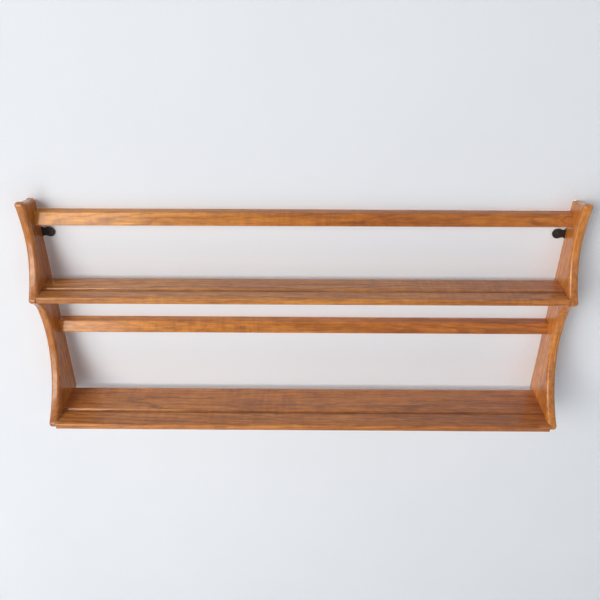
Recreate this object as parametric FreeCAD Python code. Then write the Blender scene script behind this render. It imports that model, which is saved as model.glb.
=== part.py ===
import FreeCAD, Part
import math
import os

from FreeCAD import Vector

# Wall shelf: a two-tier plate rack of solid elm, hung on two steel plates.
# All lengths are millimetres. X runs along the shelves, the front faces -Y and +Z is up.
# The origin lies on the wall, midway between the two wall-screw holes.

# Overall sizes
overall_width = 967.0
side_thickness = 17.0

# Levels: the upper rail's top edge above the wall screws, and the rest from that edge
rail_top_above_screws = 44.5
back_corner_above_rail = 19.0
ear_above_rail = 38.5
rail_spacing = 225.0
upper_shelf_below_rail = 133.0
shelf_spacing = 255.0

# Scrolled front edge of the sides: depths from the wall, levels and sweeps
ear_depth = 55.5
upper_waist_depth = 43.0
nose_tip_depth = 88.0
lower_waist_depth = 50.0
foot_depth = 124.0
upper_waist_below_rail = 39.0
lower_waist_below_shelf = 106.5
top_hollow_sag = 4.0
upper_sweep_radius = 130.0
upper_sweep_angle = 27.0
lower_sweep_radius = 222.0
lower_sweep_angle = 15.5
nose_tip_above_underside = 2.5
foot_face_height = 11.0

# Softened edges of the sides: each corner of the outline is rounder than its arris
side_edge_round = 5.5
ear_extra_round = 0.5
nose_extra_round = 0.5
foot_extra_round = 0.5

# Shelves
shelf_thickness = 13.0
upper_shelf_back_gap = 15.5
upper_shelf_front = 84.5
lower_shelf_back_gap = 19.0
lower_shelf_front = 128.0
shelf_top_front_round = 3.0
shelf_bottom_front_round = 3.0
shelf_end_round = 3.0
housing_depth = 3.5

# Plate grooves, one cove along each shelf
upper_groove_from_wall = 56.0
lower_groove_from_wall = 88.0
groove_width = 10.0
groove_depth = 3.5

# Plate rails: the front face leans like the plates that rest on it
rail_height = 21.5
rail_top_depth = 17.5
rail_bottom_depth = 26.0
rail_edge_round = 1.5

# Dowels that join the rails to the sides
dowel_diameter = 6.0
dowel_spacing = 9.5
dowel_depth_in_rail = 11.0
dowel_depth_in_side = 10.0
dowel_end_gap = 0.5
dowel_end_chamfer = 0.6
dowel_clearance = 0.1

# Hanging plates, let into the back edges of the sides
plate_thickness = 2.5
lug_radius = 9.5
lug_reach = 14.0
lug_neck_angle = 62.0
neck_flare_height = 11.5
flange_height = 46.0
flange_width = 13.0
flange_inset = 1.2
flange_corner_round = 4.0
recess_clearance = 0.2
wall_hole_diameter = 5.0
wall_countersink_diameter = 8.0

# Countersunk screws that hold the hanging plates
plate_screw_spacing = 32.0
plate_screw_diameter = 3.5
plate_screw_head_diameter = 6.6
plate_screw_length = 18.0
plate_screw_tip_length = 4.0
plate_screw_tip_diameter = 1.0
plate_screw_slot_width = 1.0
plate_screw_slot_depth = 0.8
screw_clearance = 0.1
pilot_end_gap = 0.3

# One overrun for every cut that passes through a face, and the size of a shared point
overrun = 5.0
same_point = 1.0e-4

# Places worked out from the sizes above
outer_half = overall_width / 2
inner_half = outer_half - side_thickness
rail_top = rail_top_above_screws
lower_rail_top = rail_top - rail_spacing
upper_shelf_top = rail_top - upper_shelf_below_rail
lower_shelf_top = upper_shelf_top - shelf_spacing
upper_shelf_underside = upper_shelf_top - shelf_thickness
nose_level = upper_shelf_underside + nose_tip_above_underside
foot_level = lower_shelf_top - shelf_thickness
plate_centre = inner_half - lug_reach
flange_start = lug_reach + flange_inset
flange_middle = flange_start + flange_width / 2

ALONG_X = Vector(1, 0, 0)
TO_FRONT = Vector(0, -1, 0)
UP = Vector(0, 0, 1)
ORIGIN = Vector(0, 0, 0)


def spot(depth, level):
    """A point of a cross-section, from its depth off the wall and its level."""
    return Vector(0, -depth, level)


def straight(start, end):
    """A straight edge between two points."""
    return Part.LineSegment(start, end).toShape()


def bulged_arc(start, end, outward):
    """The arc between two points whose middle stands off the chord by a vector."""
    return Part.Arc(start, (start + end) / 2 + outward, end).toShape()


def tangent_arc(start, direction, end):
    """The arc that leaves start along a direction and ends at end."""
    chord = end - start
    along = Vector(chord).normalize()
    outward = (direction - along * direction.dot(along)).normalize()
    rise = chord.Length / 2 * math.tan(direction.getAngle(chord) / 2)
    return bulged_arc(start, end, outward * rise)


def corner_arc(start, corner, end):
    """The quarter arc that rounds a square corner between two points."""
    middle_share = 1 - math.sqrt(0.5)
    middle = corner + (start - corner + end - corner) * middle_share
    return Part.Arc(start, middle, end).toShape()


def solid_from(edges, sweep):
    """The solid that a closed run of edges sweeps out."""
    return Part.Face(Part.Wire(edges)).extrude(sweep)


def box_between(low, high):
    """The box between its lowest and its highest corner."""
    size = high - low
    return Part.makeBox(size.x, size.y, size.z, low)


# Sides

def sweep_from_waist(waist, radius, angle, rise):
    """The end of a sweep that leaves the waist upright, and its direction there."""
    lean = math.radians(angle)
    end = waist + spot(radius * (1 - math.cos(lean)), rise * radius * math.sin(lean))
    return end, spot(math.sin(lean), rise * math.cos(lean))


def side_outline():
    """The edges of a side: straight back, hollow top and two scrolled hollows."""
    top_back = spot(0, rail_top + back_corner_above_rail)
    ear = spot(ear_depth, rail_top + ear_above_rail)
    upper_waist = spot(upper_waist_depth, rail_top - upper_waist_below_rail)
    nose_tip = spot(nose_tip_depth, nose_level)
    lower_waist = spot(lower_waist_depth, upper_shelf_top - lower_waist_below_shelf)
    foot_top = spot(foot_depth, foot_level + foot_face_height)
    foot = spot(foot_depth, foot_level)
    bottom_back = spot(0, foot_level)

    top_run = Vector(ear - top_back).normalize()
    into_side = Vector(0, -top_run.z, top_run.y)
    upper_end, upper_way = sweep_from_waist(upper_waist, upper_sweep_radius,
                                            upper_sweep_angle, -1)
    lower_end, lower_way = sweep_from_waist(lower_waist, lower_sweep_radius,
                                            lower_sweep_angle, 1)
    return [straight(bottom_back, top_back),
            bulged_arc(top_back, ear, into_side * top_hollow_sag),
            tangent_arc(upper_waist, UP, ear),
            tangent_arc(upper_waist, -UP, upper_end),
            tangent_arc(upper_end, upper_way, nose_tip),
            tangent_arc(lower_end, lower_way, nose_tip),
            tangent_arc(lower_waist, UP, lower_end),
            tangent_arc(lower_waist, -UP, foot_top),
            straight(foot_top, foot),
            straight(foot, bottom_back)]


def crossing_edges(shape, depth, level):
    """The edges that run along X through a corner of the outline."""
    corner = spot(depth, level)
    found = []
    for edge in shape.Edges:
        reach = max((vertex.Point - corner).cross(ALONG_X).Length for vertex in edge.Vertexes)
        if reach < same_point:
            found.append(edge)
    return found


def side_blank():
    """A right side with all its edges but the back ones softened."""
    blank = solid_from(side_outline(), ALONG_X * side_thickness)
    corners = ((ear_depth, rail_top + ear_above_rail, ear_extra_round),
               (nose_tip_depth, nose_level, nose_extra_round),
               (foot_depth, foot_level + foot_face_height, foot_extra_round),
               (foot_depth, foot_level, foot_extra_round))
    for depth, level, extra_round in corners:
        edges = crossing_edges(blank, depth, level)
        blank = blank.makeFillet(side_edge_round + extra_round, edges)
    arrises = []
    for edge in blank.Edges:
        box = edge.BoundBox
        if box.XLength < same_point and box.YLength + abs(box.YMax) > same_point:
            arrises.append(edge)
    blank = blank.makeFillet(side_edge_round, arrises)
    blank.translate(ALONG_X * inner_half)
    return blank


def shelf_housing(back_gap, bottom, top):
    """The slot in a right side that takes the end of a shelf, open to the front."""
    return box_between(Vector(inner_half - overrun, -foot_depth - overrun, bottom),
                       Vector(inner_half + housing_depth, -back_gap, top))


def right_side():
    """The right side with its housings, dowel holes, plate recess and pilot holes."""
    side = side_blank()
    side = side.cut(shelf_housing(upper_shelf_back_gap, upper_shelf_underside, upper_shelf_top))
    side = side.cut(shelf_housing(lower_shelf_back_gap, foot_level - overrun, lower_shelf_top))
    for top in (rail_top, lower_rail_top):
        for depth, level in dowel_spots(top):
            start = spot(depth, level) + ALONG_X * (inner_half - overrun)
            side = side.cut(dowel_hole(start, overrun + dowel_depth_in_side, ALONG_X))
    side = side.cut(hanging_plate_blank(recess_clearance))
    for level in plate_screw_levels():
        side = side.cut(pilot_hole(level))
    return side


def left_of(right_piece):
    """The left-hand copy of a right-hand piece."""
    return right_piece.mirror(ORIGIN, ALONG_X)


# Shelves

def shelf(top, back_gap, front, groove_from_wall):
    """A shelf with a rounded front edge, rounded front corners and its plate groove."""
    bottom = top - shelf_thickness
    half_length = inner_half + housing_depth
    edges = [straight(spot(back_gap, bottom), spot(front - shelf_bottom_front_round, bottom)),
             corner_arc(spot(front - shelf_bottom_front_round, bottom), spot(front, bottom),
                        spot(front, bottom + shelf_bottom_front_round)),
             straight(spot(front, bottom + shelf_bottom_front_round),
                      spot(front, top - shelf_top_front_round)),
             corner_arc(spot(front, top - shelf_top_front_round), spot(front, top),
                        spot(front - shelf_top_front_round, top)),
             straight(spot(front - shelf_top_front_round, top), spot(back_gap, top)),
             straight(spot(back_gap, top), spot(back_gap, bottom))]
    board = solid_from(edges, ALONG_X * 2 * half_length)
    board.translate(-ALONG_X * half_length)

    plan = box_between(Vector(-half_length, -front, bottom - overrun),
                       Vector(half_length, -back_gap + overrun, top + overrun))
    front_corners = []
    for edge in plan.Edges:
        box = edge.BoundBox
        if box.ZLength > shelf_thickness and box.YMax < -back_gap:
            front_corners.append(edge)
    board = board.common(plan.makeFillet(shelf_end_round, front_corners))

    cutter_radius = (groove_width ** 2 / 4 + groove_depth ** 2) / (2 * groove_depth)
    cutter_level = top - groove_depth + cutter_radius
    start = spot(groove_from_wall, cutter_level) - ALONG_X * (half_length + overrun)
    cutter = Part.makeCylinder(cutter_radius, 2 * (half_length + overrun), start, ALONG_X)
    return board.cut(cutter)


# Rails and dowels

def rail(top):
    """A rail between the sides, with its four long arrises softened."""
    bottom = top - rail_height
    corners = [spot(0, top), spot(rail_top_depth, top),
               spot(rail_bottom_depth, bottom), spot(0, bottom)]
    edges = [straight(corners[i - 1], corners[i]) for i in range(len(corners))]
    bar = solid_from(edges, ALONG_X * 2 * inner_half)
    arrises = [edge for edge in bar.Edges if edge.BoundBox.XLength > inner_half]
    bar = bar.makeFillet(rail_edge_round, arrises)
    bar.translate(-ALONG_X * inner_half)
    for depth, level in dowel_spots(top):
        for way in (ALONG_X, -ALONG_X):
            start = spot(depth, level) + way * (inner_half - dowel_depth_in_rail)
            bar = bar.cut(dowel_hole(start, dowel_depth_in_rail + overrun, way))
    return bar


def dowel_spots(top):
    """The two dowel centres in the end of the rail with this top edge."""
    middle = (rail_top_depth + rail_bottom_depth) / 4
    level = top - rail_height / 2
    return ((middle - dowel_spacing / 2, level), (middle + dowel_spacing / 2, level))


def dowel_hole(start, depth, way):
    """The hole for a dowel."""
    return Part.makeCylinder(dowel_diameter / 2 + dowel_clearance, depth, start, way)


def dowel(depth, level, way):
    """A dowel that crosses the joint between a rail and a side."""
    start = inner_half - dowel_depth_in_rail + dowel_end_gap
    length = dowel_depth_in_rail + dowel_depth_in_side - 2 * dowel_end_gap
    pin = Part.makeCylinder(dowel_diameter / 2, length, spot(depth, level) + way * start, way)
    rims = [edge for edge in pin.Edges if edge.Closed and edge.BoundBox.XLength < same_point]
    return pin.makeChamfer(dowel_end_chamfer, rims)


def rail_dowels():
    """The eight dowels: two at each end of each rail."""
    pins = []
    for top in (rail_top, lower_rail_top):
        for depth, level in dowel_spots(top):
            pins.append(dowel(depth, level, ALONG_X))
            pins.append(dowel(depth, level, -ALONG_X))
    return Part.makeCompound(pins)


# Hanging plates and their screws

def hanging_plate_blank(growth):
    """The right hanging plate without its holes, or its recess where it grows."""
    lug = lug_radius + growth
    near = flange_start - growth
    far = flange_start + flange_width + growth
    high = flange_height / 2 + growth
    flare = neck_flare_height + growth
    rounding = flange_corner_round + growth
    lean = math.radians(lug_neck_angle)
    on_lug = Vector(lug * math.cos(lean), 0, lug * math.sin(lean))
    off_lug = Vector(math.sin(lean), 0, -math.cos(lean))

    half = [tangent_arc(on_lug, off_lug, Vector(near, 0, flare)),
            straight(Vector(near, 0, flare), Vector(near, 0, high - rounding)),
            corner_arc(Vector(near, 0, high - rounding), Vector(near, 0, high),
                       Vector(near + rounding, 0, high)),
            straight(Vector(near + rounding, 0, high), Vector(far - rounding, 0, high)),
            corner_arc(Vector(far - rounding, 0, high), Vector(far, 0, high),
                       Vector(far, 0, high - rounding))]
    mirrored = [edge.mirror(ORIGIN, UP) for edge in reversed(half)]
    outline = half + [straight(Vector(far, 0, high - rounding), Vector(far, 0, rounding - high))]
    outline = outline + mirrored
    below_lug = Vector(on_lug.x, 0, -on_lug.z)
    outline.append(Part.Arc(below_lug, Vector(-lug, 0, 0), on_lug).toShape())
    blank = solid_from(outline, TO_FRONT * plate_thickness)
    blank.translate(ALONG_X * plate_centre)
    return blank


def countersunk_hole(centre, mouth_diameter, hole_diameter, way):
    """A hole through the hanging plate, with a countersink at its mouth."""
    mouth = mouth_diameter / 2
    bore = hole_diameter / 2
    sink = Part.makeCone(mouth, bore, mouth - bore, centre, way)
    start = centre - way * overrun
    return sink.fuse(Part.makeCylinder(bore, plate_thickness + 2 * overrun, start, way))


def plate_screw_levels():
    """The levels of the two screws through a hanging plate."""
    return (plate_screw_spacing / 2, -plate_screw_spacing / 2)


def screw_centre(level):
    """The middle of a plate screw's head, on the back face of the right hanging plate."""
    return Vector(plate_centre + flange_middle, 0, level)


def right_hanging_plate():
    """The right hanging plate with its wall-screw hole and two screw holes."""
    plate = hanging_plate_blank(0)
    lug_face = Vector(plate_centre, -plate_thickness, 0)
    plate = plate.cut(countersunk_hole(lug_face, wall_countersink_diameter,
                                       wall_hole_diameter, -TO_FRONT))
    for level in plate_screw_levels():
        mouth = plate_screw_head_diameter + 2 * screw_clearance
        bore = plate_screw_diameter + 2 * screw_clearance
        plate = plate.cut(countersunk_hole(screw_centre(level), mouth, bore, TO_FRONT))
    return plate


def pilot_hole(level):
    """The hole in a right side for a plate screw."""
    radius = plate_screw_diameter / 2 + screw_clearance
    return Part.makeCylinder(radius, plate_screw_length + pilot_end_gap,
                             screw_centre(level), TO_FRONT)


def plate_screw(level):
    """A countersunk screw: conical head with a slot, plain shank and pointed tip."""
    centre = screw_centre(level)
    head = plate_screw_head_diameter / 2
    shank = plate_screw_diameter / 2
    head_depth = head - shank
    shank_end = plate_screw_length - plate_screw_tip_length
    screw = Part.makeCone(head, shank, head_depth, centre, TO_FRONT)
    screw = screw.fuse(Part.makeCylinder(shank, shank_end - head_depth,
                                         centre + TO_FRONT * head_depth, TO_FRONT))
    screw = screw.fuse(Part.makeCone(shank, plate_screw_tip_diameter / 2, plate_screw_tip_length,
                                     centre + TO_FRONT * shank_end, TO_FRONT))
    slot_half = plate_screw_slot_width / 2
    slot = box_between(centre + Vector(-slot_half, -plate_screw_slot_depth, -head),
                       centre + Vector(slot_half, overrun, head))
    return screw.cut(slot).removeSplitter()


def plate_screws():
    """The four screws: two through each hanging plate."""
    right = [plate_screw(level) for level in plate_screw_levels()]
    return Part.makeCompound(right + [left_of(screw) for screw in right])


# All pieces, each written to its own file

def all_pieces():
    """Each piece under its node's name."""
    side = right_side()
    plate = right_hanging_plate()
    return {
        "right_side": side,
        "left_side": left_of(side),
        "upper_shelf": shelf(upper_shelf_top, upper_shelf_back_gap, upper_shelf_front,
                             upper_groove_from_wall),
        "lower_shelf": shelf(lower_shelf_top, lower_shelf_back_gap, lower_shelf_front,
                             lower_groove_from_wall),
        "upper_rail": rail(rail_top),
        "lower_rail": rail(lower_rail_top),
        "rail_dowels": rail_dowels(),
        "right_hanging_plate": plate,
        "left_hanging_plate": left_of(plate),
        "hanging_plate_screws": plate_screws(),
    }


os.makedirs("parts", exist_ok=True)
for node, piece in all_pieces().items():
    piece.exportStep(os.path.join("parts", node + ".step"))
    print(node, len(piece.Solids), "solids,", round(piece.Volume), "mm3, valid:", piece.isValid())
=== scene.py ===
"""A two-tier wall plate rack in satin elm, dressed round its packed construction.

All lengths are metres in the construction's frame: X runs along the shelves, the
front faces -Y, +Z is up, and the origin lies on the wall midway between the two
wall-screw holes.
"""

import logging
import math
from dataclasses import dataclass
from enum import Enum
from typing import Any, Sequence

import bpy
import numpy as np
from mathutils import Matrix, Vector

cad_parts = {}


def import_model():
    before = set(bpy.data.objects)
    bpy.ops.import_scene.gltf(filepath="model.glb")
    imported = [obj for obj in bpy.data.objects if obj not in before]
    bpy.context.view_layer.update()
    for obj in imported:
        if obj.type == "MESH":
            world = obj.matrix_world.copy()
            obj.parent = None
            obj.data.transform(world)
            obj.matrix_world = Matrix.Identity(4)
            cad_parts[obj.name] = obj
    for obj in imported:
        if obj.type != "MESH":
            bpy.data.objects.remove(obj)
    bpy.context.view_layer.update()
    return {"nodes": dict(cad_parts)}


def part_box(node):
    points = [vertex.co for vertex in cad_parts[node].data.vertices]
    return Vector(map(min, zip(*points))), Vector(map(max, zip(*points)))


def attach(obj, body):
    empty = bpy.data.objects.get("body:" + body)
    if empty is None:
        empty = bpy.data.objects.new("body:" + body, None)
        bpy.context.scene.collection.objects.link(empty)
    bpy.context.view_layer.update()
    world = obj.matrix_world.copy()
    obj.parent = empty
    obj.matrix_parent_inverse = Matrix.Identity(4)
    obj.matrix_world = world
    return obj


frame: dict[str, Any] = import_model()

LOG = logging.getLogger("plate_rack")
BODY = "root"
MM = 0.001

Colour = tuple[float, float, float]
Triple = tuple[float, float, float]
# A band is where a change starts and ends, or what it changes from and to.
Band = tuple[float, float]
Socket = bpy.types.NodeSocket

SEEN_BACKGROUND: Colour = (0.64, 0.66, 0.69)
NOISE_MIDDLE: Triple = (0.5, 0.5, 0.5)
ACROSS_X: Triple = (0.0, 1.0, 1.0)


class Grain(Enum):
    """The way a board's fibres run, as the turn about Y that brings them onto X."""

    ALONG_X = 0.0
    ALONG_Z = math.pi / 2


def opaque(colour: Colour) -> tuple[float, float, float, float]:
    """The colour with full opacity."""
    return (*colour, 1.0)


# Node trees


@dataclass(frozen=True)
class Noise:
    """One kind of smooth noise.

    The stretch is its features per metre along each axis, the detail its octaves of
    finer noise, and the roughness how strong those are.
    """

    stretch: Triple
    detail: float = 2.0
    roughness: float = 0.5


class NodeTree:
    """Adds nodes to one shader tree and joins them up."""

    def __init__(self, tree: bpy.types.NodeTree) -> None:
        """Keeps the tree to build in.

        Args:
            tree: A material's, world's or group's node tree.
        """
        self.tree = tree

    def add(self, kind: str, **settings: Any) -> bpy.types.Node:
        """A new node.

        Args:
            kind: The node's type name without its leading "ShaderNode".
            **settings: Properties to set on it.

        Returns:
            The node.
        """
        node = self.tree.nodes.new("ShaderNode" + kind)
        for name, value in settings.items():
            setattr(node, name, value)
        return node

    def feed(self, socket: Socket, value: Any) -> None:
        """Links a socket to another, or sets its value.

        Args:
            socket: The input to fill.
            value: An output socket, a number or a tuple.
        """
        if isinstance(value, Socket):
            self.tree.links.new(value, socket)
        else:
            socket.default_value = value

    def math(self, operation: str, *values: Any, clamp: bool = False) -> Socket:
        """A sum on numbers.

        Args:
            operation: The sum's name.
            *values: Its terms, as sockets or numbers.
            clamp: Whether the result is held from 0 to 1.

        Returns:
            The result.
        """
        node = self.add("Math", operation=operation, use_clamp=clamp)
        for socket, value in zip(node.inputs, values):
            self.feed(socket, value)
        return node.outputs[0]

    def vector(self, operation: str, *values: Any) -> Socket:
        """A sum on vectors that gives a vector.

        Args:
            operation: The sum's name.
            *values: Its terms, as sockets or tuples.

        Returns:
            The result.
        """
        node = self.add("VectorMath", operation=operation)
        for socket, value in zip(node.inputs, values):
            self.feed(socket, value)
        return node.outputs["Vector"]

    def length(self, value: Socket) -> Socket:
        """The length of a vector.

        Args:
            value: The vector's socket.

        Returns:
            The length.
        """
        node = self.add("VectorMath", operation="LENGTH")
        self.feed(node.inputs[0], value)
        return node.outputs["Value"]

    def noise(self, place: Any, kind: Noise, output: str = "Fac") -> Socket:
        """Smooth noise whose features are as long as one over the stretch.

        Args:
            place: The socket that gives the place.
            kind: The noise's stretch, detail and roughness.
            output: "Fac" for one number, "Color" for three.

        Returns:
            The noise, about 0.5 on average.
        """
        node = self.add("TexNoise", noise_dimensions="3D")
        self.feed(node.inputs["Vector"], self.vector("MULTIPLY", place, kind.stretch))
        node.inputs["Scale"].default_value = 1.0
        node.inputs["Detail"].default_value = kind.detail
        node.inputs["Roughness"].default_value = kind.roughness
        return node.outputs[output]

    def remap(self, value: Any, low: float, high: float, to_low: Any = 0.0,
              to_high: Any = 1.0, smooth: bool = False) -> Socket:
        """A number carried from one range to another, and held inside it.

        Args:
            value: The number.
            low: Where the first range starts.
            high: Where it ends.
            to_low: What its start becomes.
            to_high: What its end becomes.
            smooth: Whether the change eases in and out.

        Returns:
            The number in the second range.
        """
        node = self.add("MapRange", interpolation_type="SMOOTHSTEP" if smooth else "LINEAR")
        for name, number in (("Value", value), ("From Min", low), ("From Max", high),
                             ("To Min", to_low), ("To Max", to_high)):
            self.feed(node.inputs[name], number)
        return node.outputs["Result"]

    def blend(self, share: Any, first: Any, second: Any, kind: str = "MIX") -> Socket:
        """Two colours mixed by a share.

        Args:
            share: The second colour's share.
            first: The colour at share 0.
            second: The colour at share 1.
            kind: The way that the second acts on the first.

        Returns:
            The mixed colour.
        """
        node = self.add("Mix", data_type="RGBA", blend_type=kind)
        self.feed(node.inputs["Factor"], share)
        self.feed(node.inputs[6], first)
        self.feed(node.inputs[7], second)
        return node.outputs[2]

    def blend_shaders(self, share: Any, first: Socket, second: Socket) -> Socket:
        """Two shaders mixed by a share.

        Args:
            share: The second shader's share, from 0 to 1.
            first: The first shader.
            second: The second shader.

        Returns:
            The mixed shader.
        """
        node = self.add("MixShader")
        self.feed(node.inputs[0], share)
        self.feed(node.inputs[1], first)
        self.feed(node.inputs[2], second)
        return node.outputs[0]

    def seen_ray(self) -> Socket:
        """Tells rays that show a background from rays that light the object.

        Returns:
            One for a ray of the camera, of a reflection or of clear glass, and else zero.
        """
        path = self.add("LightPath")
        clear = self.math("MAXIMUM", path.outputs["Is Glossy Ray"],
                          path.outputs["Is Transmission Ray"])
        return self.math("MAXIMUM", path.outputs["Is Camera Ray"], clear)


@dataclass(frozen=True)
class Port:
    """One named input or output of a shared group."""

    name: str
    kind: str = "NodeSocketFloat"
    start: Any = None


def new_group(name: str, inputs: Sequence[Port], outputs: Sequence[Port]
              ) -> tuple[NodeTree, bpy.types.Node, bpy.types.Node]:
    """An empty group with its sockets.

    Args:
        name: The group's name.
        inputs: Its input ports after the first, which is the place.
        outputs: Its output ports.

    Returns:
        The tree to build in, its input node and its output node.
    """
    group = bpy.data.node_groups.new(name, "ShaderNodeTree")
    place = Port("Vector", "NodeSocketVector")
    for ports, way in (((place, *inputs), "INPUT"), (outputs, "OUTPUT")):
        for port in ports:
            socket = group.interface.new_socket(port.name, in_out=way, socket_type=port.kind)
            if port.start is not None:
                socket.default_value = port.start
    start = group.nodes.new("NodeGroupInput")
    end = group.nodes.new("NodeGroupOutput")
    return NodeTree(group), start, end


# Shared effects


@dataclass(frozen=True)
class BoardFigure:
    """Ring-porous wood, cut from a log whose pith runs along X through the origin.

    The year rings are the distance from the pith, bent by slow noise and divided by
    the ring spacing. Each ring starts with a dark porous line and fades to pale late
    wood. Stretched noise adds fibres, streaks, flecks, curl and pores.
    """

    bends: tuple[tuple[Noise, float], ...] = (
        (Noise((1.7, 8.0, 8.0)), 4.0), (Noise((8.0, 34.0, 34.0)), 0.85),
        (Noise((36.0, 75.0, 75.0)), 0.42), (Noise((105.0, 170.0, 170.0)), 0.12))
    uneven_rate: float = 0.31
    uneven_years: float = 2.4
    early_wood_end: float = 0.34
    late_wood_start: float = 0.90
    late_wood_line: float = 0.55
    faintest_year: float = 0.30
    patches: Noise = Noise((4.5, 20.0, 20.0), 3.0)
    patch_band: Band = (0.34, 0.68)
    streaks: Noise = Noise((3.6, 120.0, 120.0), 3.0, 0.6)
    streak_band: Band = (0.46, 0.70)
    fibres: Noise = Noise((20.0, 330.0, 330.0), 3.0, 0.66)
    fibre_band: Band = (0.30, 0.72)
    fibre_shades: Band = (1.16, 0.78)
    curl: Noise = Noise((130.0, 22.0, 22.0))
    curl_band: Band = (0.3, 0.7)
    # The curl's ripples are a painted glint: fixed lighter and darker bands in the colour.
    curl_glint_shades: Band = (-0.11, 0.11)
    curly_parts: Noise = Noise((3.5, 9.0, 9.0), 1.0)
    curly_band: Band = (0.42, 0.66)
    flecks: Noise = Noise((38.0, 120.0, 120.0), 3.0, 0.6)
    fleck_band: Band = (0.34, 0.66)
    fleck_shades: Band = (0.15, -0.15)
    warmth_powers: Triple = (1.0, 1.25, 1.45)
    specks: Noise = Noise((210.0, 1900.0, 1900.0), 1.0)
    speck_band: Band = (0.60, 0.72)
    porous_band: Band = (0.1, 0.7)
    fewest_pores: float = 0.25
    pore_darkness: float = 0.55
    fibre_height: float = 0.5
    line_depth: float = 0.35

    def build(self) -> bpy.types.NodeTree:
        """Builds the group.

        Returns:
            The group.
        """
        t, start, end = new_group(
            "board_figure",
            (Port("Ring Spacing", start=4.0 * MM), Port("Waviness", start=6.0 * MM),
             Port("Ring Strength", start=0.5), Port("Streak Strength", start=0.5),
             Port("Pale Wood", "NodeSocketColor", (0.60, 0.27, 0.09, 1.0)),
             Port("Deep Wood", "NodeSocketColor", (0.42, 0.17, 0.055, 1.0)),
             Port("Ring Line", "NodeSocketColor", (0.20, 0.07, 0.022, 1.0))),
            (Port("Color", "NodeSocketColor"), Port("Height"), Port("Pores")))
        place = start.outputs["Vector"]
        dark = start.outputs["Ring Line"]
        bent = self._bent(t, place, start.outputs["Waviness"])
        line = self._year_line(t, bent, start.outputs["Ring Spacing"])
        fibre = t.noise(bent, self.fibres)
        pores = t.math("MULTIPLY", t.remap(t.noise(place, self.specks), *self.speck_band),
                       t.remap(line, *self.porous_band, self.fewest_pores, 1.0))

        colour = t.blend(t.remap(t.noise(place, self.patches), *self.patch_band),
                         start.outputs["Pale Wood"], start.outputs["Deep Wood"])
        streaked = t.math("MULTIPLY", t.remap(t.noise(bent, self.streaks), *self.streak_band),
                          start.outputs["Streak Strength"])
        colour = t.blend(streaked, colour, dark)
        colour = t.blend(t.math("MULTIPLY", line, start.outputs["Ring Strength"]), colour, dark)
        colour = t.blend(1.0, colour, self._shade(t, place, bent, fibre), "MULTIPLY")
        colour = t.blend(t.math("MULTIPLY", pores, self.pore_darkness), colour, dark)

        height = t.math("SUBTRACT", t.math("MULTIPLY", fibre, self.fibre_height),
                        t.math("MULTIPLY", line, self.line_depth))
        t.feed(end.inputs["Color"], colour)
        t.feed(end.inputs["Height"], t.math("SUBTRACT", height, pores))
        t.feed(end.inputs["Pores"], pores)
        return t.tree

    def _bent(self, t: NodeTree, place: Socket, waviness: Socket) -> Socket:
        """The place, moved by each bend's noise times its share of the waviness.

        Args:
            t: The tree to build in.
            place: The socket with the place.
            waviness: The socket with the waviness, in metres.

        Returns:
            The moved place.
        """
        bent = place
        for kind, share in self.bends:
            wander = t.vector("SUBTRACT", t.noise(place, kind, "Color"), NOISE_MIDDLE)
            bend = t.add("VectorMath", operation="SCALE")
            t.feed(bend.inputs[0], wander)
            t.feed(bend.inputs["Scale"], t.math("MULTIPLY", waviness, share))
            bent = t.vector("ADD", bent, bend.outputs[0])
        return bent

    def _year_line(self, t: NodeTree, bent: Socket, spacing: Socket) -> Socket:
        """How much of each year's dark line lies at a place.

        The line is strong where a year starts, fades over its early wood and comes
        back a little at its end. Years are unevenly wide and unevenly dark.

        Args:
            t: The tree to build in.
            bent: The place after its bends.
            spacing: The socket with the ring spacing, in metres.

        Returns:
            The line, from 0 to 1.
        """
        years = t.math("DIVIDE", t.length(t.vector("MULTIPLY", bent, ACROSS_X)), spacing)
        uneven = t.add("TexNoise", noise_dimensions="1D")
        uneven.inputs["Scale"].default_value = 1.0
        uneven.inputs["Detail"].default_value = 1.0
        t.feed(uneven.inputs["W"], t.math("MULTIPLY", years, self.uneven_rate))
        years = t.math("ADD", years, t.math("MULTIPLY", uneven.outputs["Fac"], self.uneven_years))
        age = t.math("FRACT", years)
        early = t.math("SUBTRACT", 1.0, t.remap(age, 0.0, self.early_wood_end, smooth=True))
        late = t.remap(age, self.late_wood_start, 1.0, smooth=True)
        line = t.math("ADD", early, t.math("MULTIPLY", late, self.late_wood_line), clamp=True)
        chance = t.add("TexWhiteNoise", noise_dimensions="1D")
        t.feed(chance.inputs["W"], t.math("FLOOR", years))
        return t.math("MULTIPLY", line,
                      t.remap(chance.outputs["Value"], 0.0, 1.0, self.faintest_year, 1.0))

    def _shade(self, t: NodeTree, place: Socket, bent: Socket, fibre: Socket) -> Socket:
        """How light the fibres and flecks make the wood, with the curl's ripples added as a
        painted glint, warmer where it is darker.

        Args:
            t: The tree to build in.
            place: The socket with the place.
            bent: The place after its bends.
            fibre: The noise of the fibres.

        Returns:
            The shade to multiply the wood's colour with.
        """
        # Painted glint: the curl's lighter and darker ripples, where the curly parts are.
        curl = t.remap(t.noise(place, self.curl), *self.curl_band, *self.curl_glint_shades)
        curly = t.remap(t.noise(place, self.curly_parts), *self.curly_band)
        mottle = t.remap(t.noise(bent, self.flecks), *self.fleck_band, *self.fleck_shades)
        shade = t.math("ADD", t.remap(fibre, *self.fibre_band, *self.fibre_shades),
                       t.math("ADD", t.math("MULTIPLY", curl, curly), mottle))
        warm = t.add("CombineXYZ")
        for axis, power in zip("XYZ", self.warmth_powers):
            t.feed(warm.inputs[axis], t.math("POWER", shade, power))
        return warm.outputs[0]


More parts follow.
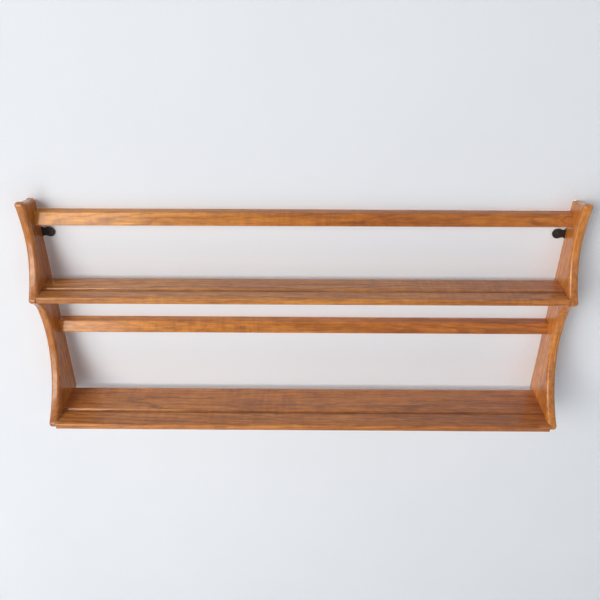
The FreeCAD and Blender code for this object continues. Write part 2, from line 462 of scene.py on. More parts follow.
@dataclass(frozen=True)
class ToneDrift:
    """The slow change of tone along a board from its near tone to its far tone, with noise in
    where it turns. It holds painted light: the rails' whiter left ends are a painted sheen, and
    the darker right ends are painted shade where the window's light falls off.
    """

    wander: Noise = Noise((2.2, 6.0, 6.0))
    wander_reach: float = 0.5
    change: Band = (-0.05, 0.55)

    def build(self) -> bpy.types.NodeTree:
        """Builds the group.

        Returns:
            The group.
        """
        t, start, end = new_group(
            "tone_drift",
            (Port("Turn", start=0.0),
             Port("Near Tone", "NodeSocketColor", (1.0, 1.0, 1.0, 1.0)),
             Port("Far Tone", "NodeSocketColor", (0.8, 0.75, 0.7, 1.0))),
            (Port("Tone", "NodeSocketColor"),))
        parts = t.add("SeparateXYZ")
        t.feed(parts.inputs[0], start.outputs["Vector"])
        wander = t.noise(start.outputs["Vector"], self.wander)
        along = t.math("ADD", parts.outputs["X"], t.math("MULTIPLY", wander, self.wander_reach))
        share = t.remap(t.math("SUBTRACT", along, start.outputs["Turn"]), *self.change,
                        smooth=True)
        t.feed(end.inputs["Tone"],
               t.blend(share, start.outputs["Near Tone"], start.outputs["Far Tone"]))
        return t.tree


@dataclass(frozen=True)
class GrooveShadeAndDirt:
    """Painted shade and some dirt along a groove that runs along X.

    The mask falls off with the distance from the groove's line, broken by noise.
    """

    full_share: float = 0.55
    breaks: Noise = Noise((9.0, 60.0, 60.0), 4.0, 0.6)
    break_band: Band = (0.32, 0.62)
    thinnest: float = 0.88

    def build(self) -> bpy.types.NodeTree:
        """Builds the group.

        Returns:
            The group.
        """
        t, start, end = new_group(
            "groove_shade_and_dirt",
            (Port("Line", "NodeSocketVector"), Port("Radius", start=6.0 * MM),
             Port("Amount", start=0.5)),
            (Port("Mask"),))
        off = t.vector("SUBTRACT", start.outputs["Vector"], start.outputs["Line"])
        off = t.vector("MULTIPLY", off, ACROSS_X)
        share = t.math("DIVIDE", t.length(off), start.outputs["Radius"])
        near = t.remap(share, 1.0, self.full_share, smooth=True)
        patchy = t.remap(t.noise(start.outputs["Vector"], self.breaks), *self.break_band,
                         self.thinnest, 1.0)
        t.feed(end.inputs["Mask"], t.math("MULTIPLY", t.math("MULTIPLY", near, patchy),
                                          start.outputs["Amount"]))
        return t.tree


@dataclass(frozen=True)
class Handling:
    """Where hands and cloths have left the surface duller or brighter.

    Two sizes of noise are added: broad wiped patches and small finger smudges.
    """

    wiped: Noise = Noise((5.0, 7.0, 7.0), 3.0, 0.6)
    smudges: Noise = Noise((42.0, 60.0, 60.0), 3.0, 0.6)
    wiped_share: float = 0.65
    change: Band = (0.38, 0.62)

    def build(self) -> bpy.types.NodeTree:
        """Builds the group.

        Returns:
            The group.
        """
        t, start, end = new_group(
            "handling", (Port("Polished", start=0.3), Port("Dull", start=0.45)),
            (Port("Roughness"),))
        place = start.outputs["Vector"]
        both = t.math("ADD", t.math("MULTIPLY", t.noise(place, self.wiped), self.wiped_share),
                      t.math("MULTIPLY", t.noise(place, self.smudges), 1 - self.wiped_share))
        share = t.remap(both, *self.change, smooth=True)
        t.feed(end.inputs["Roughness"],
               t.remap(share, 0.0, 1.0, start.outputs["Polished"], start.outputs["Dull"]))
        return t.tree


@dataclass(frozen=True)
class EdgeRubAndHighlight:
    """How far an arris is worn, and on the elm how far it holds a painted highlight, from the
    angle between the true and a rounded normal.
    """

    samples: int = 4
    agreement: Band = (0.995, 0.86)
    breaks: Noise = Noise((55.0, 55.0, 55.0), 4.0, 0.65)
    break_band: Band = (0.36, 0.62)

    def build(self) -> bpy.types.NodeTree:
        """Builds the group.

        Returns:
            The group.
        """
        t, start, end = new_group(
            "edge_rub_and_highlight", (Port("Radius", start=2.0 * MM), Port("Amount", start=1.0)),
            (Port("Mask"),))
        round_normal = t.add("Bevel", samples=self.samples)
        t.feed(round_normal.inputs["Radius"], start.outputs["Radius"])
        true_normal = t.add("NewGeometry")
        agree = t.add("VectorMath", operation="DOT_PRODUCT")
        t.feed(agree.inputs[0], round_normal.outputs["Normal"])
        t.feed(agree.inputs[1], true_normal.outputs["Normal"])
        edge = t.remap(agree.outputs["Value"], *self.agreement)
        broken = t.remap(t.noise(start.outputs["Vector"], self.breaks), *self.break_band)
        t.feed(end.inputs["Mask"], t.math("MULTIPLY", t.math("MULTIPLY", edge, broken),
                                          start.outputs["Amount"], clamp=True))
        return t.tree


@dataclass(frozen=True)
class SettledDust:
    """A faint film that lies on faces that look up, thicker in soft patches."""

    upward: Band = (0.55, 0.98)
    patches: Noise = Noise((18.0, 40.0, 40.0), 4.0, 0.6)
    patch_band: Band = (0.35, 0.7)
    thinnest: float = 0.3

    def build(self) -> bpy.types.NodeTree:
        """Builds the group.

        Returns:
            The group.
        """
        t, start, end = new_group("settled_dust", (Port("Amount", start=0.1),), (Port("Mask"),))
        normal = t.add("NewGeometry")
        parts = t.add("SeparateXYZ")
        t.feed(parts.inputs[0], normal.outputs["Normal"])
        facing = t.remap(parts.outputs["Z"], *self.upward, smooth=True)
        patchy = t.remap(t.noise(start.outputs["Vector"], self.patches), *self.patch_band,
                         self.thinnest, 1.0)
        t.feed(end.inputs["Mask"], t.math("MULTIPLY", t.math("MULTIPLY", facing, patchy),
                                          start.outputs["Amount"]))
        return t.tree


class SharedEffects:
    """The node groups that more than one material uses, each built once."""

    def __init__(self) -> None:
        """Builds the groups."""
        self.figure = BoardFigure().build()
        self.drift = ToneDrift().build()
        self.shade_and_dirt = GrooveShadeAndDirt().build()
        self.handling = Handling().build()
        self.edge_rub_and_highlight = EdgeRubAndHighlight().build()
        self.settled_dust = SettledDust().build()


class MaterialMaker:
    """Starts one material on a Principled shader and places shared groups in it."""

    def __init__(self, name: str) -> None:
        """Makes the material with only a shader and its output.

        Args:
            name: The material's name.
        """
        self.material = bpy.data.materials.new(name)
        self.material.use_nodes = True
        tree = self.material.node_tree
        tree.nodes.clear()
        self.nodes = NodeTree(tree)
        self.shader = self.nodes.add("BsdfPrincipled")
        self.output = self.nodes.add("OutputMaterial")
        self.nodes.feed(self.output.inputs["Surface"], self.shader.outputs[0])

    def place(self, shift: Triple, grain: Grain = Grain.ALONG_X, tilt: float = 0.0) -> Socket:
        """Object coordinates, turned so that the grain runs along X and then shifted.

        Args:
            shift: The shift after the turn, in metres.
            grain: The way that the fibres run.
            tilt: How far the log's heart leans off the board's length, in radians.

        Returns:
            The socket with the place.
        """
        mapping = self.nodes.add("Mapping")
        mapping.inputs["Rotation"].default_value = (0.0, grain.value + tilt, tilt)
        mapping.inputs["Location"].default_value = shift
        self.nodes.feed(mapping.inputs["Vector"], self.here())
        return mapping.outputs["Vector"]

    def here(self) -> Socket:
        """Object coordinates as they are."""
        return self.nodes.add("TexCoord").outputs["Object"]

    def group(self, tree: bpy.types.NodeTree, **values: Any) -> bpy.types.Node:
        """Places a shared group.

        Args:
            tree: The group.
            **values: Its inputs, with spaces in their names written as underscores.

        Returns:
            The group's node.
        """
        node = self.nodes.add("Group", node_tree=tree)
        for name, value in values.items():
            self.nodes.feed(node.inputs[name.replace("_", " ")], value)
        return node

    def bump(self, height: Any, strength: float, distance: float) -> None:
        """Feeds the shader's normal from a height.

        Args:
            height: The socket with the height.
            strength: The bump's strength.
            distance: What a height of 1 stands for, in metres.
        """
        node = self.nodes.add("Bump")
        node.inputs["Strength"].default_value = strength
        node.inputs["Distance"].default_value = distance
        self.nodes.feed(node.inputs["Height"], height)
        self.nodes.feed(self.shader.inputs["Normal"], node.outputs["Normal"])

    def set(self, **values: Any) -> None:
        """Sets or links the shader's own sockets.

        Args:
            **values: The sockets' values, with spaces in their names as underscores.
        """
        for name, value in values.items():
            self.nodes.feed(self.shader.inputs[name.replace("_", " ")], value)


# Finishes


@dataclass(frozen=True)
class Cut:
    """How one board was cut from the log, how its tone and painted light run along it, and where
    the painted shade and dirt along its groove lie.
    """

    shift: Triple
    ring_spacing: float
    grain: Grain = Grain.ALONG_X
    tilt: float = 0.0
    waviness: float = 5.0 * MM
    contrast: float = 1.0
    gloss: float = 1.0
    turn: float = 0.0
    near_tone: Colour = (1.0, 1.0, 1.0)
    far_tone: Colour = (1.0, 1.0, 1.0)
    groove_line: Triple | None = None


@dataclass(frozen=True)
class ElmFinish:
    """Honey-brown elm under a satin lacquer, with painted shade and dirt along a groove, where
    the coat is taken off.
    """

    pale: Colour = (0.655, 0.243, 0.040)
    deep: Colour = (0.500, 0.162, 0.022)
    line: Colour = (0.220, 0.056, 0.009)
    # Arrises lightened: worn wood and a painted highlight.
    rubbed_and_highlit: Colour = (0.700, 0.310, 0.075)
    film: Colour = (0.62, 0.58, 0.54)
    # The colour of the painted shade and dirt in a groove.
    shade_and_dirt: Colour = (0.110, 0.036, 0.012)
    shade_and_dirt_reach: float = 3.6 * MM
    shade_and_dirt_amount: float = 1.0
    ring_strength: float = 0.66
    streak_strength: float = 0.50
    polished: float = 0.34
    dull: float = 0.46
    pore_roughness: float = 0.15
    refraction: float = 1.5
    specular: float = 0.2
    coat: float = 0.85
    coat_roughness: float = 0.17
    rub_radius: float = 2.2 * MM
    rub_amount: float = 0.35
    dust_amount: float = 0.05
    grain_strength: float = 0.35
    grain_depth: float = 0.12 * MM

    def material(self, name: str, effects: SharedEffects, cut: Cut) -> bpy.types.Material:
        """The material of one board.

        Args:
            name: The material's name.
            effects: The shared groups.
            cut: How the board was cut from the log.

        Returns:
            The material.
        """
        maker = MaterialMaker(name)
        nodes = maker.nodes
        place = maker.place(cut.shift, cut.grain, cut.tilt)
        figure = maker.group(effects.figure, Vector=place, Ring_Spacing=cut.ring_spacing,
                             Waviness=cut.waviness,
                             Ring_Strength=self.ring_strength * cut.contrast,
                             Streak_Strength=self.streak_strength * cut.contrast,
                             Pale_Wood=opaque(self.pale), Deep_Wood=opaque(self.deep),
                             Ring_Line=opaque(self.line))
        rub = maker.group(effects.edge_rub_and_highlight, Vector=place, Radius=self.rub_radius,
                          Amount=self.rub_amount)
        dust = maker.group(effects.settled_dust, Vector=place, Amount=self.dust_amount)
        handling = maker.group(effects.handling, Vector=place, Polished=self.polished,
                               Dull=self.dull)
        # The drift multiplies in the board's tone with its painted sheen and shade along X.
        drift = maker.group(effects.drift, Vector=maker.here(), Turn=cut.turn,
                            Near_Tone=opaque(cut.near_tone), Far_Tone=opaque(cut.far_tone))
        colour = nodes.blend(1.0, figure.outputs["Color"], drift.outputs["Tone"], "MULTIPLY")
        # Painted highlight and wear: the arrises lighter.
        colour = nodes.blend(rub.outputs["Mask"], colour, opaque(self.rubbed_and_highlit))
        colour = nodes.blend(dust.outputs["Mask"], colour, opaque(self.film))
        coat: Any = self.coat * cut.gloss
        # Painted shade and dirt along the groove: darker colour and no coat.
        if cut.groove_line:
            groove_marks = maker.group(effects.shade_and_dirt, Vector=maker.here(), Line=cut.groove_line,
                               Radius=self.shade_and_dirt_reach, Amount=self.shade_and_dirt_amount)
            colour = nodes.blend(groove_marks.outputs["Mask"], colour, opaque(self.shade_and_dirt))
            coat = nodes.remap(groove_marks.outputs["Mask"], 0.0, 1.0, coat, 0.0)
        roughness = nodes.math("ADD", handling.outputs["Roughness"],
                               nodes.math("MULTIPLY", figure.outputs["Pores"],
                                          self.pore_roughness))
        maker.set(Base_Color=colour, Roughness=roughness, IOR=self.refraction,
                  Specular_IOR_Level=self.specular, Coat_Weight=coat,
                  Coat_Roughness=self.coat_roughness, Coat_IOR=self.refraction)
        maker.bump(figure.outputs["Height"], self.grain_strength, self.grain_depth)
        return maker.material


@dataclass(frozen=True)
class BeechFinish:
    """Bare pale beech, for the dowels inside the joints."""

    pale: Colour = (0.62, 0.44, 0.27)
    deep: Colour = (0.50, 0.33, 0.19)
    line: Colour = (0.30, 0.17, 0.08)
    shift: Triple = (0.0, 31.0 * MM, 0.0)
    ring_spacing: float = 2.0 * MM
    waviness: float = 2.0 * MM
    ring_strength: float = 0.25
    streak_strength: float = 0.2
    polished: float = 0.55
    dull: float = 0.72
    grain_strength: float = 0.4
    grain_depth: float = 0.1 * MM

    def material(self, name: str, effects: SharedEffects) -> bpy.types.Material:
        """The material of the dowels.

        Args:
            name: The material's name.
            effects: The shared groups.

        Returns:
            The material.
        """
        maker = MaterialMaker(name)
        place = maker.place(self.shift)
        figure = maker.group(effects.figure, Vector=place, Ring_Spacing=self.ring_spacing,
                             Waviness=self.waviness, Ring_Strength=self.ring_strength,
                             Streak_Strength=self.streak_strength,
                             Pale_Wood=opaque(self.pale), Deep_Wood=opaque(self.deep),
                             Ring_Line=opaque(self.line))
        handling = maker.group(effects.handling, Vector=place, Polished=self.polished,
                               Dull=self.dull)
        maker.set(Base_Color=figure.outputs["Color"], Roughness=handling.outputs["Roughness"])
        maker.bump(figure.outputs["Height"], self.grain_strength, self.grain_depth)
        return maker.material


@dataclass(frozen=True)
class SteelFinish:
    """Steel under a thin dark or grey skin that wears through at its edges."""

    skin: Colour
    worn: Colour
    metallic: float
    polished: float
    dull: float
    rub_radius: float
    rub_amount: float
    mottle: Noise = Noise((160.0, 160.0, 160.0), 3.0, 0.6)
    mottle_band: Band = (0.3, 0.7)
    mottle_shade: float = 0.6
    pits: Noise = Noise((900.0, 900.0, 900.0), 2.0, 0.6)
    pit_strength: float = 0.25
    pit_depth: float = 0.05 * MM

    def material(self, name: str, effects: SharedEffects) -> bpy.types.Material:
        """The material of the plates or screws.

        Args:
            name: The material's name.
            effects: The shared groups.

        Returns:
            The material.
        """
        maker = MaterialMaker(name)
        nodes = maker.nodes
        place = maker.here()
        rub = maker.group(effects.edge_rub_and_highlight, Vector=place, Radius=self.rub_radius,
                          Amount=self.rub_amount)
        handling = maker.group(effects.handling, Vector=place, Polished=self.polished,
                               Dull=self.dull)
        shaded = tuple(self.mottle_shade * part for part in self.skin)
        colour = nodes.blend(nodes.remap(nodes.noise(place, self.mottle), *self.mottle_band),
                             opaque(self.skin), opaque(shaded))
        colour = nodes.blend(rub.outputs["Mask"], colour, opaque(self.worn))
        maker.set(Base_Color=colour, Roughness=handling.outputs["Roughness"],
                  Metallic=self.metallic)
        maker.bump(nodes.noise(place, self.pits), self.pit_strength, self.pit_depth)
        return maker.material


BRONZED_STEEL = SteelFinish(skin=(0.044, 0.035, 0.030), worn=(0.15, 0.115, 0.085), metallic=0.55,
                            polished=0.42, dull=0.58, rub_radius=0.6 * MM, rub_amount=0.6)
SCREW_STEEL = SteelFinish(skin=(0.36, 0.33, 0.29), worn=(0.60, 0.57, 0.52), metallic=0.9,
                          polished=0.32, dull=0.5, rub_radius=0.3 * MM, rub_amount=0.5)


@dataclass(frozen=True)
class PlasterFinish:
    """Pale plaster that can't be seen from behind and lets light past where it touches.

    The rack's back faces lie on the wall. A ray that meets the wall within the contact
    distance passes through it, so those faces still get light. The glow is the share
    of the seen background's colour that the camera and reflections see in the plaster,
    so that an unlit part of it stays pale.
    """

    glow: float = 0.0
    colour: Colour = (0.855, 0.880, 0.920)
    contact: float = 3.0 * MM
    clouds: Noise = Noise((2.2, 2.2, 2.2), 3.0)
    cloud_band: Band = (0.3, 0.7)
    darkest_cloud: float = 0.97
    roughness: float = 0.85
    specular: float = 0.2
    trowelling: Noise = Noise((60.0, 60.0, 60.0), 4.0, 0.6)
    trowel_strength: float = 0.12
    trowel_depth: float = 2.0 * MM

    def material(self, name: str) -> bpy.types.Material:
        """The material of the wall or the floor.

        Args:
            name: The material's name.

        Returns:
            The material.
        """
        maker = MaterialMaker(name)
        nodes = maker.nodes
        place = maker.here()
        tone = nodes.remap(nodes.noise(place, self.clouds), *self.cloud_band,
                           self.darkest_cloud, 1.0)
        grey = nodes.add("CombineXYZ")
        for axis in "XYZ":
            nodes.feed(grey.inputs[axis], tone)
        colour = nodes.blend(1.0, opaque(self.colour), grey.outputs[0], "MULTIPLY")
        maker.set(Base_Color=colour, Roughness=self.roughness, Specular_IOR_Level=self.specular)
        maker.bump(nodes.noise(place, self.trowelling), self.trowel_strength, self.trowel_depth)

        path = nodes.add("LightPath")
        side = nodes.add("NewGeometry")
        touching = nodes.math("LESS_THAN", path.outputs["Ray Length"], self.contact)
        gone = nodes.math("MAXIMUM", side.outputs["Backfacing"], touching)
        plain = nodes.add("Emission")
        nodes.feed(plain.inputs["Color"], opaque(SEEN_BACKGROUND))
        shown = nodes.math("MULTIPLY", nodes.seen_ray(), self.glow)
        front = nodes.blend_shaders(shown, maker.shader.outputs[0], plain.outputs[0])
        clear = nodes.add("BsdfTransparent")
        nodes.feed(maker.output.inputs["Surface"],
                   nodes.blend_shaders(gone, front, clear.outputs[0]))
        return maker.material


def paint(node: str, material: bpy.types.Material) -> None:
    """Gives every material slot of a node of the construction one material.

    Args:
        node: The node's name.
        material: The material.
    """
    for slot in frame["nodes"][node].material_slots:
        slot.material = material
    LOG.info("%s dressed in %s", node, material.name)


# Surfaces


def new_piece(name: str, points: np.ndarray, faces: list[list[int]]) -> bpy.types.Object:
    """A mesh object at the origin.

    Args:
        name: The object's and its mesh's name.
        points: Its points, one row each.
        faces: The numbers of each face's points.

    Returns:
        The object.
    """
    mesh = bpy.data.meshes.new(name)
    mesh.from_pydata(points.tolist(), [], faces)
    mesh.validate()
    piece = bpy.data.objects.new(name, mesh)
    bpy.context.scene.collection.objects.link(piece)
    return piece


def mesh_of_rings(name: str, rings: np.ndarray, first_pole: np.ndarray,
                  last_pole: np.ndarray) -> bpy.types.Object:
    """A closed skin over a stack of rings, with a point at each end.

    Quad (i, j) joins ring i's points j and j + 1 to the same two on ring i + 1, and a
    fan of triangles joins each end ring to its pole.

    Args:
        name: The new object's name.
        rings: Points with the shape (rings, points on a ring, 3).
        first_pole: The point that closes the first ring.
        last_pole: The point that closes the last ring.

    Returns:
        The object, at the origin.
    """
    count, around = rings.shape[:2]
    index = np.arange(count * around).reshape(count, around)
    beside = np.roll(index, -1, axis=1)
    quads = np.stack([index[:-1], beside[:-1], beside[1:], index[1:]], axis=-1).reshape(-1, 4)
    first, last = count * around, count * around + 1
    fan_in = np.stack([beside[0], index[0], np.full(around, first)], axis=-1)
    fan_out = np.stack([index[-1], beside[-1], np.full(around, last)], axis=-1)
    points = np.concatenate([rings.reshape(-1, 3), [first_pole], [last_pole]])
    return new_piece(name, points, quads.tolist() + fan_in.tolist() + fan_out.tolist())


def flat_sheet(name: str, corner: Triple, along: Triple, across: Triple) -> bpy.types.Object:
    """A flat sheet: corner + u * along + v * across, for u and v from 0 to 1.

    Args:
        name: The new object's name.
        corner: Its first corner.
        along: One side.
        across: The other side. The face looks the way along x across points.

    Returns:
        The object, at the origin.
    """
    share = np.array([[0, 0], [1, 0], [1, 1], [0, 1]], float)
    points = np.array(corner) + share @ np.array([along, across])
    return new_piece(name, points, [[0, 1, 2, 3]])


# Sub-assemblies


@dataclass(frozen=True)
class Stock:
    """One board's node, its place along the log, its year rings' width and its left tone, which
    on the rails and sides is partly painted light.
    """

    node: str
    along_log: float
    ring_spacing: float
    tone: Colour


@dataclass
class Boards:
    """The sides, shelves and rails: CAD solids that take an elm material each."""

    effects: SharedEffects
    finish: ElmFinish = ElmFinish()
    pith_under_shelf: float = 55.0 * MM
    shelf_tilt: float = 0.018
    shelf_turn: float = 0.25
    # The shelves' far tone: right ends darker, painted shade where the window's light falls off.
    shelf_right_end_shade: Colour = (0.87, 0.78, 0.76)
    shade_line_before_groove: float = 3.2 * MM
    shade_line_below_top: float = 1.8 * MM
    pith_behind_rail: float = 26.0 * MM
    pith_under_rail: float = 24.0 * MM
    rail_waviness: float = 3.0 * MM
    # The rails' far tone: right ends darker and less white, painted shade with no sheen.
    rail_right_end_shade: Colour = (0.82, 0.70, 0.52)
    rail_gloss: float = 0.6
    pith_beside_side: float = 48.0 * MM
    side_contrast: float = 0.6

    def dress(self) -> None:
        """Gives each board its own cut from the log."""
        self._shelf(Stock("upper_shelf", 3.1, 5.0 * MM, (1.00, 1.05, 1.10)), pith=62.0 * MM,
                    groove=56.0 * MM)
        self._shelf(Stock("lower_shelf", 7.7, 5.4 * MM, (1.02, 1.01, 1.01)), pith=74.0 * MM,
                    groove=88.0 * MM)
        # The rails' left tones whiten their left ends as a painted sheen.
        self._rail(Stock("upper_rail", 12.4, 1.9 * MM, (1.33, 1.50, 1.46)), tilt=0.012,
                   turn=-0.20)
        self._rail(Stock("lower_rail", 15.9, 1.7 * MM, (1.24, 1.38, 1.36)), tilt=-0.010,
                   turn=-0.10)
        # The left side's darker tone is painted shade and the right side's lighter tone painted
        # light.
        self._side(Stock("left_side", 21.3, 4.2 * MM, (0.87, 0.83, 0.81)), pith=45.0 * MM)
        self._side(Stock("right_side", 26.8, 4.6 * MM, (1.06, 1.06, 1.04)), pith=50.0 * MM)

    def _shelf(self, stock: Stock, pith: float, groove: float) -> None:
        """Dresses a flat-sawn shelf.

        Args:
            stock: The board that it was cut from.
            pith: How far in front of the wall the log's heart lay under it.
            groove: How far its groove lies off the wall.
        """
        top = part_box(stock.node)[1].z
        shift = (stock.along_log, pith, self.pith_under_shelf - top)
        # The line of painted shade and dirt, just in front of the groove and below the top.
        shade_and_dirt = (0.0, -groove - self.shade_line_before_groove, top - self.shade_line_below_top)
        self._dress(stock, Cut(shift, stock.ring_spacing, tilt=self.shelf_tilt,
                               turn=self.shelf_turn, near_tone=stock.tone,
                               far_tone=self.shelf_right_end_shade, groove_line=shade_and_dirt))

    def _rail(self, stock: Stock, tilt: float, turn: float) -> None:
        """Dresses a rail whose front face is flat-sawn.

        Args:
            stock: The board that it was cut from.
            tilt: How far the log's heart leans off its length, in radians.
            turn: Where along X its tone starts to change.
        """
        low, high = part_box(stock.node)
        shift = (stock.along_log, -self.pith_behind_rail,
                 self.pith_under_rail - (low.z + high.z) / 2)
        self._dress(stock, Cut(shift, stock.ring_spacing, tilt=tilt, waviness=self.rail_waviness,
                               gloss=self.rail_gloss, turn=turn, near_tone=stock.tone,
                               far_tone=self.rail_right_end_shade))

    def _side(self, stock: Stock, pith: float) -> None:
        """Dresses a side, whose fibres run upright and whose tone is even: painted shade on the
        left side, painted light on the right.

        Args:
            stock: The board that it was cut from.
            pith: How far in front of the wall the log's heart lay beside it.
        """
        middle = sum(corner.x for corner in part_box(stock.node)) / 2
        shift = (stock.along_log, pith, middle + math.copysign(self.pith_beside_side, middle))
        self._dress(stock, Cut(shift, stock.ring_spacing, Grain.ALONG_Z,
                               contrast=self.side_contrast, near_tone=stock.tone,
                               far_tone=stock.tone))

    def _dress(self, stock: Stock, cut: Cut) -> None:
        """Makes the board's material and puts it on."""
        paint(stock.node, self.finish.material("elm_" + stock.node, self.effects, cut))


@dataclass
class JointFixings:
    """The dowels in the rail joints."""

    effects: SharedEffects
    finish: BeechFinish = BeechFinish()

    def dress(self) -> None:
        """Gives the dowels their beech."""
        paint("rail_dowels", self.finish.material("beech_dowels", self.effects))


@dataclass
class WallHangings:
    """The hanging plates, their screws, and the two wall screws seen in the lugs."""

    effects: SharedEffects
    hole_spacing: float = 905.0 * MM
    plate_thickness: float = 2.5 * MM
    head_radius: float = 3.85 * MM
    rim_depth: float = 0.12 * MM
    dome_rise: float = 1.0 * MM
    shank_radius: float = 2.3 * MM
    cone_end_depth: float = 0.95 * MM
    wall_gap: float = 0.05 * MM
    recess_reach: float = 2.35 * MM
    recess_width: float = 1.15 * MM
    recess_depth: float = 1.5 * MM
    recess_slope_share: float = 0.35
    left_cross_turn: float = 0.35
    right_cross_turn: float = 0.62
    rings_on_top: int = 40
    points_around: int = 160

    def build(self) -> None:
        """Dresses the plates and makes the wall screws."""
        bronzed = BRONZED_STEEL.material("bronzed_steel_skin", self.effects)
        for node in ("left_hanging_plate", "right_hanging_plate"):
            paint(node, bronzed)
        paint("hanging_plate_screws", SCREW_STEEL.material("screw_steel_skin", self.effects))
        for name, way, turn in (("left_wall_screw", -1, self.left_cross_turn),
                                ("right_wall_screw", 1, self.right_cross_turn)):
            screw = self._wall_screw(name, way * self.hole_spacing / 2, turn)
            screw.data.materials.append(bronzed)
            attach(screw, BODY)
            LOG.info("%s made, %d faces", name, len(screw.data.polygons))

    def _arm_depth(self, along: np.ndarray, beside: np.ndarray) -> np.ndarray:
        """The depth of one arm of the cross recess.

        Along the arm the depth falls off as one minus the square of the share of its
        reach, and across it a smooth step closes the arm at half its width.

        Args:
            along: Places along the arm, measured from the head's centre.
            beside: Places across it.

        Returns:
            The depth, zero outside the arm.
        """
        slope = np.clip(1 - (along / self.recess_reach) ** 2, 0, 1)
        half = self.recess_width / 2
        wall = np.clip((half - np.abs(beside)) / (self.recess_slope_share * half), 0, 1)
        return self.recess_depth * slope * wall ** 2 * (3 - 2 * wall)

    def _wall_screw(self, name: str, x: float, turn: float) -> bpy.types.Object:
        """A countersunk wall screw with a raised head and a cross recess.

        Its skin is turned round the screw's axis. Over the head the height above the
        plate's face is rise * (1 - (r / R) ** 2) less the recess, which is the deeper
        of its two arms. Behind it a cone runs down to the shank, which ends just
        short of the wall.

        Args:
            name: The screw's name.
            x: Where its axis is.
            turn: How far the cross is turned, in radians.

        Returns:
            The screw.
        """
        angle = np.linspace(0, 2 * math.pi, self.points_around, endpoint=False)
        over = np.linspace(1 / self.rings_on_top, 1, self.rings_on_top)
        radius = np.concatenate([self.head_radius * over,
                                 [self.head_radius, self.shank_radius, self.shank_radius]])
        rise = np.concatenate([self.dome_rise * (1 - over ** 2),
                               [-self.rim_depth, -self.plate_thickness + self.cone_end_depth,
                                self.wall_gap - self.plate_thickness]])
        across = radius[:, None] * np.cos(angle)
        up = radius[:, None] * np.sin(angle)
        depth = np.maximum(self._arm_depth(across, up), self._arm_depth(up, across))
        depth[self.rings_on_top:] = 0
        face = -self.plate_thickness
        y = face - (rise[:, None] - depth)
        cos, sin = math.cos(turn), math.sin(turn)
        rings = np.stack([x + cos * across - sin * up, y, sin * across + cos * up], axis=-1)
        middle = np.array([x, face - self.dome_rise + self.recess_depth, 0.0])
        end = np.array([x, -self.wall_gap, 0.0])
        return mesh_of_rings(name, rings[:, ::-1], middle, end)


@dataclass(frozen=True)
class Lamp:
    """One soft rectangular light."""

    name: str
    place: Triple
    aim: Triple
    width: float
    height: float
    power: float
    colour: Colour = (1.0, 1.0, 1.0)
    in_gloss: bool = True

    def light(self) -> None:
        """Puts the lamp into the scene."""
        data = bpy.data.lights.new(self.name, "AREA")
        data.shape = "RECTANGLE"
        data.size, data.size_y = self.width, self.height
        data.energy, data.color = self.power, self.colour
        lamp = bpy.data.objects.new(self.name, data)
        lamp.location = self.place
        lamp.rotation_euler = (Vector(self.aim) - Vector(self.place)).to_track_quat(
            "-Z", "Y").to_euler()
        lamp.visible_camera = False
        lamp.visible_glossy = self.in_gloss
        bpy.context.scene.collection.objects.link(lamp)


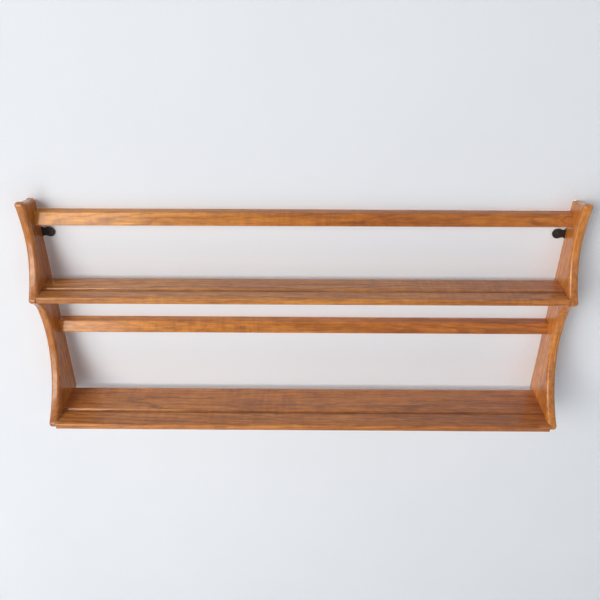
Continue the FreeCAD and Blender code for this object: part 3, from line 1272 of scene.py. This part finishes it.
@dataclass
class Studio:
    """A pale wall and floor, soft lamps and the camera."""

    wall_finish: PlasterFinish = PlasterFinish()
    floor_finish: PlasterFinish = PlasterFinish(glow=0.5)
    floor_level: float = -2.60
    wall_height: float = 5.6
    reach: float = 7.0
    wall_gap: float = 0.3 * MM
    rack_middle: Triple = (0.0, -0.06, -0.14)
    daylight: Colour = (1.0, 0.99, 0.97)
    warm_light: Colour = (1.0, 0.98, 0.95)
    cool_light: Colour = (0.97, 0.98, 1.0)
    sky_colour: Colour = (0.93, 0.95, 1.0)
    sky_strength: float = 0.11
    camera_place: Triple = (0.0047, -1.0855, 0.5328)
    camera_turn: Triple = (math.radians(58.10), 0.0, math.radians(0.529))
    focal_length: float = 40.46
    sensor_width: float = 36.0

    def build(self) -> None:
        """Makes the backdrop, the light and the camera."""
        width = 2 * self.reach
        wall = flat_sheet("stage_wall", (-self.reach, self.wall_gap, self.floor_level),
                          (width, 0, 0), (0, 0, self.wall_height))
        floor = flat_sheet("stage_floor", (-self.reach, -self.reach, self.floor_level),
                           (width, 0, 0), (0, width, 0))
        for sheet, name, finish in ((wall, "pale_plaster", self.wall_finish),
                                    (floor, "pale_floor", self.floor_finish)):
            sheet.data.materials.append(finish.material(name))
        self._sky()
        for lamp in self._lamps():
            lamp.light()
        self._camera()
        LOG.info("studio built")

    def _lamps(self) -> tuple[Lamp, ...]:
        """The window to the left, soft light from low down, a dim fill and one for the back.

        Returns:
            The lamps.
        """
        aim = self.rack_middle
        return (Lamp("window", place=(-3.32, -4.01, 1.54), aim=aim, width=4.10, height=2.55,
                     power=206.0, colour=self.daylight),
                Lamp("low_window", place=(-1.78, -2.52, -0.34), aim=aim, width=0.84, height=1.18,
                     power=14.0, colour=self.daylight),
                Lamp("floor_bounce", place=(-1.10, -1.95, -1.75), aim=aim, width=2.2, height=1.2,
                     power=3.0, colour=self.warm_light),
                Lamp("room", place=(1.34, -2.68, 0.08), aim=aim, width=2.2, height=2.2,
                     power=14.5, colour=self.cool_light, in_gloss=False),
                Lamp("back_lamp", place=(0.9, 2.2, 1.3), aim=aim, width=1.6, height=1.2,
                     power=52.0))

    def _sky(self) -> None:
        """Even light from all round, which the camera and reflections see as pale."""
        world = bpy.data.worlds.new("soft_sky")
        world.use_nodes = True
        bpy.context.scene.world = world
        world.node_tree.nodes.clear()
        nodes = NodeTree(world.node_tree)
        lit = nodes.add("Background")
        nodes.feed(lit.inputs["Color"], opaque(self.sky_colour))
        nodes.feed(lit.inputs["Strength"], self.sky_strength)
        plain = nodes.add("Background")
        nodes.feed(plain.inputs["Color"], opaque(SEEN_BACKGROUND))
        nodes.feed(plain.inputs["Strength"], 1.0)
        output = nodes.add("OutputWorld")
        nodes.feed(output.inputs["Surface"],
                   nodes.blend_shaders(nodes.seen_ray(), lit.outputs[0], plain.outputs[0]))

    def _camera(self) -> None:
        """The camera at the photograph's viewing angle."""
        data = bpy.data.cameras.new("photo_view")
        data.lens = self.focal_length
        data.sensor_width = self.sensor_width
        camera = bpy.data.objects.new("photo_view", data)
        camera.location = self.camera_place
        camera.rotation_euler = self.camera_turn
        bpy.context.scene.collection.objects.link(camera)
        bpy.context.scene.camera = camera


def main() -> None:
    """Dresses every board and fixing and lights the scene."""
    logging.basicConfig(level=logging.INFO, format="%(message)s")
    bpy.context.scene.view_settings.view_transform = "Standard"
    effects = SharedEffects()
    Boards(effects).dress()
    JointFixings(effects).dress()
    WallHangings(effects).build()
    Studio().build()


if __name__ == "__main__":
    main()
